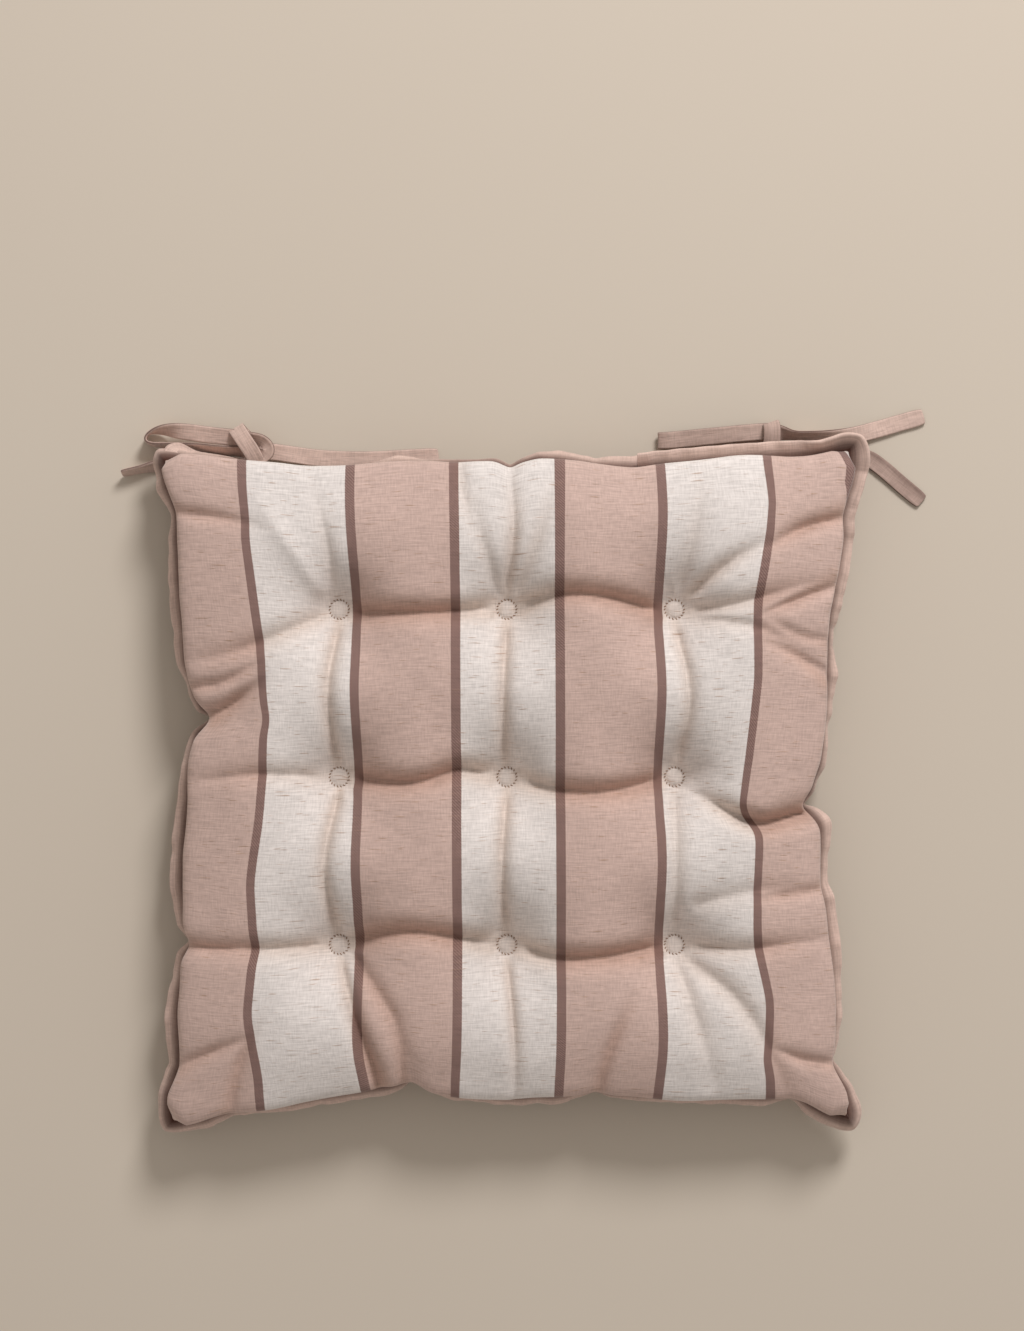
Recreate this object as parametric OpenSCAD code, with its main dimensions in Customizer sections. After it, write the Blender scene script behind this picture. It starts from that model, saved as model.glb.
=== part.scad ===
// A square tufted seat pad: a striped woven cover over loose fibre, a folded plain strip let into
// the seam all round, nine stitched round tufts, and a pair of knotted ties at each back corner.
// The pad lies on its underside, +Z up, with its back edge and the ties towards +Y. Millimetres.

/* [Pad] */
// Width from seam to seam, at the corners
pad_w = 394; // [360:2:420]
// Depth from seam to seam, at the corners
pad_d = 382; // [350:2:420]
// Height of the seam above the surface that the pad lies on
seam_z = 27; // [24:1:32]
// Rise of the plumpest part of the top above the seam
top_rise = 30; // [24:1:36]
// How far the left and right sides pull in, halfway between the corners
side_waist = 16; // [0:1:18]
// How far the front and back edges pull in, halfway between the corners
front_waist = 7; // [0:1:10]
// Thickness of the woven cover
cover_t = 1.2; // [0.8:0.1:1.6]

/* [Edge strip] */
// How far the folded strip stands out beyond the seam
strip_w = 9; // [6:1:12]
// Thickness of the folded strip
strip_t = 2.4; // [2:0.2:3]
// Height of the waves along the strip's free edge
strip_wave = 1; // [0:0.25:1.5]

/* [Tufts] */
// Distance between neighbouring tufts
tuft_pitch = 97; // [90:1:104]
// How far the tuft grid lies behind the pad's middle
tuft_back = 6; // [0:1:8]
// Diameter of a tuft's ring of stitches
tuft_d = 11; // [9:0.5:12]
// Number of stitches in the ring
tuft_stitches = 18; // [12:1:24]
// Thickness that the pad is drawn down to at a tuft
tuft_gap = 7; // [6:0.5:9]
// How far from a tuft the cover is drawn down
tuft_reach = 24; // [16:1:28]

/* [Ties] */
// Width of a tie
tie_w = 10; // [9:0.5:10]
// Thickness of a tie
tie_t = 1.6; // [1.2:0.1:1.6]

/* [Hidden] */
TUFTS = [for (i = [1:9]) str("tuft_", i)];

pink = [0.72, 0.58, 0.53];
cream = [0.86, 0.83, 0.79];
half_w = pad_w / 2;
half_d = pad_d / 2;
seam_allowance = 5;
strip_inset = 3;
seam_inset = 2;
fill_gap = 0.3;
valley_reach = 14;
valley_share = 0.22;
rim_top = seam_z + strip_t / 2;
rim_bottom = seam_z - strip_t / 2;
bottom_fall = 1.15 * seam_z;
tuft_flat = tuft_d / 2 + 2;
tuft_top = seam_z + tuft_gap / 2;
tuft_bottom = seam_z - tuft_gap / 2;
thread_r = 0.45;
leg_r = 0.35;
thread_w = 0.6;
thread_proud = 0.4;
closing_inset = 1;
closing_w = 140;

// ---- Plan of the pad ----

// Sample lines across the pad, closer together at the rim and at each tuft.
function steps(from, to, count) = [for (i = [0:count - 1]) from + (to - from) * i / count];
function tuft_lines(at) = steps(at - tuft_flat, at + tuft_flat, 2);
function lines(half, shift) = concat(
    [-half],
    steps(-half + seam_allowance, shift - tuft_pitch - tuft_flat, 5),
    tuft_lines(shift - tuft_pitch),
    steps(shift - tuft_pitch + tuft_flat, shift - tuft_flat, 4),
    tuft_lines(shift),
    steps(shift + tuft_flat, shift + tuft_pitch - tuft_flat, 4),
    tuft_lines(shift + tuft_pitch),
    steps(shift + tuft_pitch + tuft_flat, half - seam_allowance, 5),
    [half - seam_allowance, half]);
lines_x = lines(half_w, 0);
lines_y = lines(half_d, tuft_back);
last = len(lines_x) - 1;

// A place on the pad, from its place on the flat rectangle: the sides pull in between the corners.
function plan(x, y) = [
    x - side_waist * sign(x) * pow(abs(x) / half_w, 4) * (1 - pow(y / half_d, 2)),
    y - front_waist * sign(y) * pow(abs(y) / half_d, 4) * (1 - pow(x / half_w, 2))];

// The seam line, or a line outside it (grow above 0) or inside it, as a closed outline.
function side_point(t, side) =
    side == 0 ? [t, -1] : side == 1 ? [1, t] : side == 2 ? [-t, 1] : [-1, -t];
function outline(grow, wave = 0) = [
    for (side = [0:3]) for (i = [0:39])
        let (t = i / 20 - 1,
             s = side_point(t, side),
             p = plan(s.x * half_w, s.y * half_d),
             out = grow + wave * sin(720 * t) * (1 - t * t))
        [p.x + s.x * out, p.y + s.y * out]];

// ---- Heights of the cover ----

// The nearest tuft's place along one axis, and how strongly the tufts draw the cover down.
function nearest(c, shift) = shift + tuft_pitch * max(-1, min(1, round((c - shift) / tuft_pitch)));
function from_tuft(p) = norm([p.x - nearest(p.x, 0), p.y - nearest(p.y, tuft_back)]);
function drawn(p) = exp(-pow(max(0, from_tuft(p) - tuft_flat) / tuft_reach, 2));
function valley(c, shift) = exp(-pow((c - nearest(c, shift)) / valley_reach, 2));
function edge(c, half) = pow(max(0, 1 - pow(abs(c) / (half - seam_allowance), 6)), 0.6);
function plump(p) = edge(p.x, half_w) * edge(p.y, half_d)
    * (1 - valley_share * max(valley(p.x, 0), valley(p.y, tuft_back)));
function top_height(x, y) = let (p = [x, y], k = drawn(p))
    (rim_top + cover_t + top_rise * plump(p)) * (1 - k) + tuft_top * k;
function bottom_height(x, y) = let (p = [x, y], k = drawn(p))
    max(0, (rim_bottom - cover_t - bottom_fall * plump(p)) * (1 - k) + tuft_bottom * k);

// Grid points of a surface at those heights, moved up by lift, from line i0 to line i1 each way.
function top_grid(lift, i0, i1) = [for (i = [i0:i1]) for (j = [i0:i1])
    let (x = lines_x[i], y = lines_y[j], p = plan(x, y)) [p.x, p.y, top_height(x, y) + lift]];
function bottom_grid(lift, i0, i1) = [for (i = [i0:i1]) for (j = [i0:i1])
    let (x = lines_x[i], y = lines_y[j], p = plan(x, y)) [p.x, p.y, bottom_height(x, y) + lift]];

// The closed solid between two such surfaces with n cells each way.
module between(upper, lower, n) {
    w = n + 1;
    under = w * w;
    cells = [for (i = [0:n - 1]) for (j = [0:n - 1]) i * w + j];
    top = [for (a = cells) each [[a, a + 1, a + w + 1], [a, a + w + 1, a + w]]];
    bottom = [for (a = cells) each [[a + under, a + under + w + 1, a + under + 1],
                                    [a + under, a + under + w, a + under + w + 1]]];
    rim = concat([for (j = [0:n - 1]) [j, 1]], [for (i = [0:n - 1]) [i * w + n, w]],
                 [for (j = [n:-1:1]) [n * w + j, -1]], [for (i = [n:-1:1]) [i * w, -w]]);
    walls = [for (r = rim) let (a = r[0], b = r[0] + r[1])
        each [[a, a + under, b + under], [a, b + under, b]]];
    polyhedron(points = concat(upper, lower), faces = concat(top, bottom, walls));
}

// ---- The cover, the strip and the filling ----

module top_panel() {
    color(cream)
        between(top_grid(0, 0, last), top_grid(-cover_t, 0, last), last);
}

module bottom_panel() {
    color(cream)
        between(bottom_grid(cover_t, 0, last), bottom_grid(0, 0, last), last);
}

module fibre_filling() {
    color("white")
        between(top_grid(-cover_t - fill_gap, 1, last - 1),
                bottom_grid(cover_t + fill_gap, 1, last - 1), last - 2);
}

module edge_strip() {
    color(pink)
        translate([0, 0, rim_bottom])
            linear_extrude(strip_t)
                difference() {
                    polygon(outline(strip_w, strip_wave));
                    polygon(outline(-strip_inset));
                }
}

// ---- Threads ----

// The line of stitches through the cover and the strip, inset from the seam's edge.
module stitch_line(inset) {
    translate([0, 0, rim_bottom - cover_t - thread_proud])
        linear_extrude(strip_t + 2 * cover_t + 2 * thread_proud)
            difference() {
                polygon(outline(-inset));
                polygon(outline(-inset - thread_w));
            }
}

module seam_thread() {
    color(pink)
        stitch_line(seam_inset);
}

// The filling opening in the back edge, closed by its own shorter line of stitches.
module closing_thread() {
    color(cream)
        intersection() {
            stitch_line(closing_inset);
            translate([-closing_w / 2, half_d / 2, 0])
                cube([closing_w, half_d, 2 * seam_z]);
        }
}

module thread_ring(z) {
    translate([0, 0, z])
        rotate_extrude($fn = 48)
            translate([tuft_d / 2, 0])
                circle(r = thread_r, $fn = 8);
}

// One tuft: a ring of stitches on each face of the pad and the legs that join them.
module tuft(number) {
    column = (number - 1) % 3 - 1;
    row = 1 - floor((number - 1) / 3);
    color(cream)
        translate([column * tuft_pitch, tuft_back + row * tuft_pitch, 0]) {
            thread_ring(tuft_top + thread_r);
            thread_ring(tuft_bottom - thread_r);
            for (i = [0:tuft_stitches - 1])
                rotate(360 * i / tuft_stitches)
                    translate([tuft_d / 2, 0, tuft_bottom - thread_r])
                        cylinder(h = tuft_gap + 2 * thread_r, r = leg_r, $fn = 6);
        }
}

// ---- Ties ----

// A tie is a flat tape. Each stop on its route is [place, direction of its width], measured from
// the seam's corner at floor level, from the sewn end to the free end.

// Left: the looped tie goes to the knot, turns back into the loop, and leaves as the long tail.
LEFT_A = [
    [[2, 0, 23], [1, 0, 0]], [[2.5, 4.5, 22], [1, -0.2, 0]], [[7, 5, 18.5], [0.6, -0.8, 0]],
    [[15, 2, 13], [0, -0.6, 0.8]], [[25, 1, 9.6], [0, -0.4, 0.9]], [[36, 0, 9], [0, -0.2, 1]],
    [[46, 0, 9.4], [0.2, -0.2, 1]], [[52, 1.5, 11], [0.8, -0.4, 0.5]], [[57, 5, 13.6], [0.9, -0.2, 0.3]],
    [[54, 10, 12.6], [0.5, 0.6, 0.6]], [[46, 12, 11], [0.1, 0.8, 0.6]], [[36, 13, 10], [0, 0.95, 0.3]],
    [[22, 14.5, 8.5], [0, 1, 0.1]], [[8, 16.5, 7], [0, 0.95, 0.3]], [[-5, 17.5, 6], [0, 0.5, 0.85]],
    [[-13, 15.5, 6], [0, 0, 1]], [[-14.5, 11.5, 6], [0, 0, 1]], [[-10, 9, 6], [0, 0.1, 1]],
    [[2, 8, 6], [0, 0.3, 0.95]], [[16, 6.8, 6], [0, 0.5, 0.85]], [[30, 5.6, 6.2], [0, 0.5, 0.85]],
    [[42, 5, 6], [0, 0.6, 0.8]], [[50, 5, 3.8], [0, 0.9, 0.4]], [[59, 5, 2.4], [0, 1, 0.1]],
    [[70, 3.5, 2], [0, 1, 0]], [[85, 1.5, 1.6], [0, 1, 0]], [[102, 0.5, 1.5], [0, 1, 0]],
    [[120, 0.5, 1.4], [0, 1, 0]], [[138, 1.5, 1.3], [0, 1, 0]], [[157, 2.5, 1.3], [0, 1, 0]]];
// Left: the wrapping tie goes round the bundle once, and back under the corner as the short tail.
LEFT_B = [
    [[3, -1, 20], [1, 0, 0]], [[3.5, 2.5, 18], [1, -0.2, 0]], [[9, 2, 13], [0.5, -0.8, 0.3]],
    [[17, -1.5, 9], [0, -0.5, 0.9]], [[28, -2.6, 6.6], [0, -0.3, 0.9]], [[39, -3, 6], [0.1, -0.2, 0.9]],
    [[47, -1.5, 4.8], [0.6, -0.3, 0.7]], [[49, 3.5, 1.6], [1, 0.3, 0.1]], [[46, 10, 1.3], [1, 0.4, 0]],
    [[41, 15.5, 2.6], [0.9, 0.5, 0]], [[38.5, 18.5, 8], [0.9, 0.5, 0]],
    [[40, 16.5, 13.6], [0.85, 0.5, 0]], [[44, 10.5, 16], [0.85, 0.5, 0]],
    [[48.5, 3.5, 15], [0.85, 0.5, 0]], [[51, -3, 11.5], [0.9, 0.4, 0]], [[49, -7.5, 7.5], [1, 0.1, 0]],
    [[42, -10, 6], [0.7, 0.6, -0.3]], [[33, -9, 1.6], [0.1, 1, 0]], [[18, -6.5, 1.4], [0, 1, 0]],
    [[4, -3.5, 2.4], [0, 1, 0.2]], [[-8, -3.5, 4.4], [0, 0.6, 0.7]], [[-18, -5.5, 5.4], [0, 0.3, 0.9]],
    [[-29, -8, 5.4], [0, 0.3, 0.9]]];
// Right: the looped tie runs out flat, folds back over itself, and passes the corner again.
RIGHT_A = [
    [[-2, 0, 23], [1, 0, 0]], [[-2.5, 4.5, 22], [1, 0.2, 0]], [[-7, 6.5, 18.5], [0.6, 0.8, 0]],
    [[-17, 4, 13], [0, 1, 0]], [[-28, 2, 7.6], [0, 1, 0]], [[-40, 3.5, 4.6], [0, 1, 0]],
    [[-54, 10, 3.4], [0, 1, 0]], [[-72, 13.5, 1.7], [0, 1, 0]], [[-90, 12.5, 1.4], [0, 1, 0]],
    [[-103, 11.4, 1.6], [0, 1, 0]], [[-108, 11.4, 4.2], [0, 1, 0]], [[-103, 11.4, 6.8], [0, 1, 0]],
    [[-88, 12.8, 6.4], [0, 1, 0]], [[-70, 14.6, 6], [0, 1, 0]], [[-54, 16, 7.4], [0, 1, 0]],
    [[-42, 16.4, 8.4], [0, 1, 0.2]], [[-30, 14.5, 7], [0, 0.5, 0.85]], [[-18, 14, 6.5], [0, 0.5, 0.85]],
    [[-6, 13.5, 6], [0, 0.8, 0.6]], [[6, 14.5, 4], [-0.1, 1, 0.2]], [[20, 18, 2], [-0.2, 1, 0]],
    [[34, 22, 1.4], [-0.3, 1, 0]], [[48, 26, 1.4], [-0.3, 1, 0]]];
// Right: the wrapping tie goes round the looped one, and under the corner as the lower tail.
RIGHT_B = [
    [[-3, -1, 20], [1, 0, 0]], [[-3.5, 2.5, 18], [1, 0.2, 0]], [[-10, 2.5, 13], [0.4, 0.9, 0]],
    [[-20, 0.5, 7.5], [0, 1, 0]], [[-32, 0.5, 3], [0.2, 1, 0]], [[-41, 3, 1.6], [0.7, 0.7, 0]],
    [[-45, 9, 1.4], [1, 0.2, 0]], [[-44, 15, 1.5], [1, 0.2, 0]], [[-43, 20, 3.8], [1, 0.3, 0]],
    [[-42.5, 21.5, 8.5], [1, 0.3, 0]], [[-42, 18.5, 12.4], [1, 0.2, 0]], [[-42, 12, 13], [1, 0.1, 0]],
    [[-43, 5, 11.6], [1, 0, 0]], [[-44, -1, 8.5], [1, -0.1, 0.1]], [[-42, -5.5, 6.4], [0.6, 0, 0.8]],
    [[-33, -7.5, 5.6], [0, -0.2, 1]], [[-20, -7, 4.6], [0, -0.6, 0.8]], [[-7, -3, 2.2], [0, -1, 0.2]],
    [[5, 2, 1.5], [0, -1, 0]], [[15, 1, 1.4], [-0.4, -0.9, 0]], [[24, -5, 1.4], [-0.6, -0.8, 0]],
    [[35, -14.5, 1.4], [-0.6, -0.8, 0]], [[47, -24.5, 1.4], [-0.6, -0.8, 0]]];

function unit(v) = v / norm(v);
// One octagonal ring of the tape at stop i.
function tape_ring(route, i) =
    let (n = len(route) - 1,
         along = unit(route[min(n, i + 1)][0] - route[max(0, i - 1)][0]),
         lean = route[i][1],
         wide = unit(lean - (lean * along) * along),
         thick = cross(along, wide))
    [for (k = [0:7]) let (a = 45 * k + 22.5)
        route[i][0] + wide * tie_w / 2 * cos(a) / cos(22.5) + thick * tie_t / 2 * sin(a) / sin(67.5)];

module tape(route, corner) {
    rings = len(route);
    walls = [for (i = [0:rings - 2]) for (k = [0:7])
        let (a = 8 * i + k, b = 8 * i + (k + 1) % 8)
        each [[a, b + 8, b], [a, a + 8, b + 8]]];
    end = 8 * (rings - 1);
    ends = concat([for (k = [1:6]) [0, k, k + 1]],
                  [for (k = [1:6]) [end, end + k + 1, end + k]]);
    color(pink)
        translate(corner)
            polyhedron(points = [for (i = [0:rings - 1]) each tape_ring(route, i)],
                       faces = concat(walls, ends));
}

module tie_left_a() {
    tape(LEFT_A, [-half_w, half_d, 0]);
}

module tie_left_b() {
    tape(LEFT_B, [-half_w, half_d, 0]);
}

module tie_right_a() {
    tape(RIGHT_A, [half_w, half_d, 0]);
}

module tie_right_b() {
    tape(RIGHT_B, [half_w, half_d, 0]);
}

top_panel();
bottom_panel();
edge_strip();
fibre_filling();
seam_thread();
closing_thread();
for (i = [1:9]) tuft(i);
tie_left_a();
tie_left_b();
tie_right_a();
tie_right_b();
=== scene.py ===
"""Looks for a square tufted seat pad: a striped cover blown up by cloth simulation, a folded edging
strip, nine stitched tufts and two pairs of knotted tape ties. Metres, in the CAD frame."""

import math

import bpy
import numpy as np
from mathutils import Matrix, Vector, noise


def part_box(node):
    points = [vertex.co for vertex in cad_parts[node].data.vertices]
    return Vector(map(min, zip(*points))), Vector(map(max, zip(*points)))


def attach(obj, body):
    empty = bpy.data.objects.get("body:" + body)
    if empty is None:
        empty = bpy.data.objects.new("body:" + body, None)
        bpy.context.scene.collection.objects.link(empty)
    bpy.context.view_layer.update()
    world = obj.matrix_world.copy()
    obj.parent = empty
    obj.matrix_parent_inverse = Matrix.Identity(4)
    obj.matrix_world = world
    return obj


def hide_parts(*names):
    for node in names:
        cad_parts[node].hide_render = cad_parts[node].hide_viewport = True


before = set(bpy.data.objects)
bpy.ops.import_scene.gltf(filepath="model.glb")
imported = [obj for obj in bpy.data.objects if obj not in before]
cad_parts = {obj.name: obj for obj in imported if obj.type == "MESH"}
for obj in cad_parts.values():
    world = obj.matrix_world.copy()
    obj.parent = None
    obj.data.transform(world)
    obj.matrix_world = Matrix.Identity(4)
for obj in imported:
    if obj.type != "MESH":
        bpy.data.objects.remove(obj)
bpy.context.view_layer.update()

MM = 0.001

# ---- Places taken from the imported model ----

PANEL_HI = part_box("top_panel")[1]
STRIP_LO, STRIP_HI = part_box("edge_strip")
CORNER_X = PANEL_HI.x
CORNER_Y = PANEL_HI.y
SEAM_Z = (STRIP_LO.z + STRIP_HI.z) / 2
TOP_Z = PANEL_HI.z
TUFT_NAMES = [f"tuft_{i}" for i in range(1, 10)]


def middle(node):
    low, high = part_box(node)
    return (low + high) / 2


TUFTS = [middle(name) for name in TUFT_NAMES]
THREAD_R = 0.45 * MM
TUFT_LO, TUFT_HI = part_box("tuft_5")
TUFT_R = (TUFT_HI.x - TUFT_LO.x) / 2 - THREAD_R
TUFT_TOP = TUFT_HI.z - 2 * THREAD_R
TUFT_BOTTOM = TUFT_LO.z + 2 * THREAD_R

# ---- The flat cut of the cover ----

CUT = 200 * MM  # half the cover's width and depth, from seam to seam
TUFT_PITCH_CUT = 101 * MM
TUFT_BACK_CUT = 6 * MM

# The seam line as it lies, side by side: [place on the cut, x, y, how far the edging shows], in mm.
FRONT = [
    (-200, -194, -194, 6), (-178, -175, -191.5, 5), (-164, -162, -187, 2), (-150, -144, -184.5, 5),
    (-120, -118, -180.5, 5), (-90, -80, -175, 4.5), (-70, -64, -172, 2.5), (-60, -54, -167, 0.5),
    (-50, -45, -173, 2), (-30, -30.5, -176, 4.5), (0, 1, -179.5, 4.5), (30, 29.8, -178, 5),
    (42, 41, -176, 3), (52, 51, -174, 0.5), (62, 61, -177, 2), (90, 86, -178, 3.5),
    (120, 118, -178.5, 4.5), (150, 150, -179.5, 4), (165, 165, -178.5, 1), (174, 173, -181.5, 3),
    (186, 184, -187.5, 7), (200, 198, -191.5, 7),
]
BACK = [
    (-200, -199, 190, 5), (-180, -180, 190.5, 3), (-150, -151, 188, -1), (-120, -120, 185, -1.5),
    (-90, -90, 184.5, -1), (-60, -61, 187, 4), (-45, -44, 188, 1.5), (-30, -31, 187.5, 0.5),
    (-8, -7, 188.5, 0.5), (0, 2, 184, 0.5), (8, 8, 188, 0.5), (20, 18, 191, 2), (30, 31, 190, 4),
    (50, 50, 187, 4), (74, 73, 185, 5.5), (90, 88, 186.5, 8), (130, 129, 190, 8),
    (152, 151, 191.5, 8), (170, 169, 192.5, 6.5), (182, 181, 193.5, 5), (200, 199, 196, 8),
]
LEFT = [
    (-200, -194, -194, 6), (-184, -197, -178, 4), (-165, -190.5, -161, 4.5), (-134, -190, -130, 7),
    (-103, -187, -100, 5), (-93, -181, -90, 1.5), (-83, -186, -79, 4.5), (-60, -187.5, -57, 7),
    (-38, -187.5, -37, 6.5), (-6, -184.5, -6, 6), (18, -183.5, 16, 3.5), (32, -180, 29, 1.5),
    (41, -168, 40, 0.5), (49, -177.5, 48, 2), (58, -182, 57, 2.5), (74, -186, 73, 4),
    (98, -187, 97, 7), (113, -189, 111, 6.5), (146, -191.5, 143, 4), (160, -191.5, 159, 1.5),
    (176, -197, 175, 5), (200, -199, 190, 5),
]
RIGHT = [
    (-200, 198, -191.5, 7), (-178, 196, -175, 3), (-164, 186.5, -160, 0.5), (-150, 188.5, -146, 4),
    (-128, 188.5, -127, 5.5), (-102, 186, -100, 7), (-90, 184.5, -87, 8), (-70, 182, -68, 8),
    (-58, 179.5, -56, 6), (-38, 181, -36, 4.5), (-24, 181.5, -23, 7), (-16, 176, -15, 3),
    (-10, 169, -11, 0.5), (-3, 176, -2, 1), (16, 181.5, 15, 2.5), (42, 183.5, 42, 4),
    (66, 185, 65, 6), (84, 186, 83, 2.5), (102, 186.5, 101, 5), (120, 189, 117, 7),
    (146, 193.5, 143, 7), (162, 193, 158, 9), (180, 198, 176, 10), (200, 199, 196, 8),
]

# How strong a fold is at its start, middle and end.
BETWEEN = (1.0, 0.75, 1.0)
OUTWARD = (1.0, 0.8, 0.15)
INWARD = (0.9, 0.8, 0.1)
STEADY = (0.7, 0.9, 1.0)
# Folds that the cover falls into on top: [points on the pad in mm, depth, half width, strengths].
FOLDS = [
    ([(-97, 96), (-103, 55), (-98, 14)], 7, 5, BETWEEN),
    ([(0, 96), (-2, 55), (-1, 14)], 7, 5, BETWEEN),
    ([(97, 96), (105, 52), (98, 14)], 6, 5, BETWEEN),
    ([(-97, -2), (-105, -45), (-98, -84)], 7, 5, BETWEEN),
    ([(0, -2), (-3, -45), (0, -84)], 7, 5, BETWEEN),
    ([(97, -2), (97, -45), (97, -84)], 4, 6, BETWEEN),
    ([(-88, 101), (-60, 101), (-30, 102), (-8, 104)], 10, 7, BETWEEN),
    ([(8, 105), (32, 112), (58, 110), (88, 102)], 10, 7, BETWEEN),
    ([(-88, 6), (-60, 3), (-42, 6), (-28, 11), (-9, 8)], 10, 7, BETWEEN),
    ([(8, 5), (25, 0), (48, -2), (68, 0), (88, 5)], 10, 7, BETWEEN),
    ([(-88, -89), (-74, -84), (-56, -82), (-38, -84), (-10, -90)], 10, 7, BETWEEN),
    ([(8, -92), (26, -97), (50, -97), (88, -92)], 10, 7, BETWEEN),
    ([(-99, 110), (-103, 140), (-110, 170)], 3, 5, OUTWARD),
    ([(0, 110), (4, 150), (2, 182)], 6, 5, OUTWARD),
    ([(-4, 110), (-16, 150), (-20, 175)], 3, 5, OUTWARD),
    ([(5, 110), (20, 150), (26, 175)], 4, 5, OUTWARD),
    ([(104, 110), (125, 128), (150, 142)], 7, 5, OUTWARD),
    ([(99, 112), (108, 150), (112, 178)], 3, 6, OUTWARD),
    ([(-105, 100), (-140, 84), (-178, 72)], 6, 7, OUTWARD),
    ([(-105, 6), (-140, 8), (-178, 4)], 5, 7, OUTWARD),
    ([(-105, -91), (-140, -92), (-180, -90)], 7, 7, OUTWARD),
    ([(105, 102), (140, 108), (178, 120)], 6, 7, OUTWARD),
    ([(105, 98), (145, 92), (182, 72)], 4, 6, OUTWARD),
    ([(105, -91), (140, -92), (180, -86)], 6, 7, OUTWARD),
    ([(110, -66), (145, -58), (178, -56)], 3, 7, OUTWARD),
    ([(-96, -100), (-86, -135), (-72, -172)], 8, 5, STEADY),
    ([(-88, -98), (-66, -130), (-54, -168)], 5, 6, OUTWARD),
    ([(0, -100), (4, -140), (5, -179)], 6, 4, OUTWARD),
    ([(98, -100), (108, -130), (120, -170)], 4, 7, OUTWARD),
    ([(102, -98), (135, -125), (165, -178)], 5, 7, OUTWARD),
    ([(170, -14), (145, -20), (125, -12), (104, 0)], 14, 6, INWARD),
    ([(-168, 40), (-158, 48), (-140, 62)], 9, 5, INWARD),
    ([(-190, 160), (-168, 156), (-140, 150)], 5, 4, INWARD),
    ([(-181, 57), (-160, 62), (-136, 76)], 5, 4, INWARD),
    ([(-182, -90), (-160, -92), (-130, -90)], 6, 5, INWARD),
    ([(-188, -163), (-170, -152), (-140, -140)], 5, 4, INWARD),
    ([(192, 158), (170, 150), (146, 136)], 8, 5, INWARD),
    ([(188, 120), (165, 108), (140, 97)], 6, 5, INWARD),
    ([(184, 84), (166, 88), (142, 104)], 4, 4, INWARD),
    ([(184, 60), (166, 76), (140, 88)], 6, 4, INWARD),
    ([(186, -160), (170, -156), (146, -146)], 5, 4, INWARD),
    ([(179, -57), (160, -61), (138, -64)], 5, 4, INWARD),
    ([(-161, -185), (-154, -160), (-140, -130)], 5, 4, INWARD),
    ([(52, -172), (60, -148), (72, -120)], 6, 4, INWARD),
    ([(-60, -167), (-62, -145), (-72, -118)], 5, 4, INWARD),
    ([(-28, 186), (-24, 165), (-18, 140)], 4, 4, INWARD),
]
# Ridges where the cloth is pulled tight, in the same form.
RIDGES = [
    ([(-106, 112), (-126, 141), (-147, 171)], 4, 6, OUTWARD),
]
# How far the cloth has crept sideways along its two outer stripes: [place on the cut, shift], in mm.
CREEP_LEFT = [
    (-181, 3.5), (-130, -4), (-91, -1), (-54, -2), (-20, 3), (10, 5), (50, 6), (75, 6), (105, 2), (145, -2),
]
CREEP_RIGHT = [
    (-176, 2), (-123, 4), (-95, -2), (-83, -3), (-54, -2), (-25, -1), (-17, -11), (-5, -11), (10, -9),
    (62, -3), (103, -3), (132, 1), (166, 5), (190, 1),
]

# ---- Helpers ----


def link(obj):
    bpy.context.scene.collection.objects.link(obj)
    return obj


def make_mesh(name, points, faces, smooth=True):
    mesh = bpy.data.meshes.new(name)
    mesh.from_pydata([tuple(map(float, p)) for p in points], [], [tuple(map(int, f)) for f in faces])
    mesh.update()
    for face in mesh.polygons:
        face.use_smooth = smooth
    return link(bpy.data.objects.new(name, mesh))


def set_flat(obj, values):
    """Stores each point's place on the flat cut, in metres, so that the weave follows the cloth; a third
    number, where given, is how far the colour is darkened there, mostly painted shade.
    """
    attribute = obj.data.attributes.new("flat", "FLOAT_VECTOR", "POINT")
    attribute.data.foreach_set("vector", np.asarray(values, np.float32).ravel())


def flat_of(obj):
    values = np.zeros(len(obj.data.vertices) * 3, np.float32)
    obj.data.attributes["flat"].data.foreach_get("vector", values)
    return values.reshape(-1, 3).astype(float)


def apply_modifiers(obj):
    bpy.context.view_layer.objects.active = obj
    for modifier in list(obj.modifiers):
        bpy.ops.object.modifier_apply(modifier=modifier.name)


def subdivide(obj):
    modifier = obj.modifiers.new("round", "SUBSURF")
    modifier.levels = modifier.render_levels = 1
    apply_modifiers(obj)


def points_of(obj):
    values = np.zeros(len(obj.data.vertices) * 3)
    obj.data.vertices.foreach_get("co", values)
    return values.reshape(-1, 3)


def set_points(obj, points):
    obj.data.vertices.foreach_set("co", np.asarray(points, np.float32).ravel())
    obj.data.update()


def smooth_line(values, sigma):
    """A Gaussian blur of rows of numbers along a line, with the ends held."""
    reach = max(1, int(3 * sigma))
    weights = np.exp(-0.5 * (np.arange(-reach, reach + 1) / sigma) ** 2)
    weights /= weights.sum()
    padded = np.concatenate([
        2 * values[:1] - values[reach:0:-1], values, 2 * values[-1:] - values[-2:-reach - 2:-1]])
    return np.stack([np.convolve(padded[:, k], weights, "valid") for k in range(values.shape[1])], 1)


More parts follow.
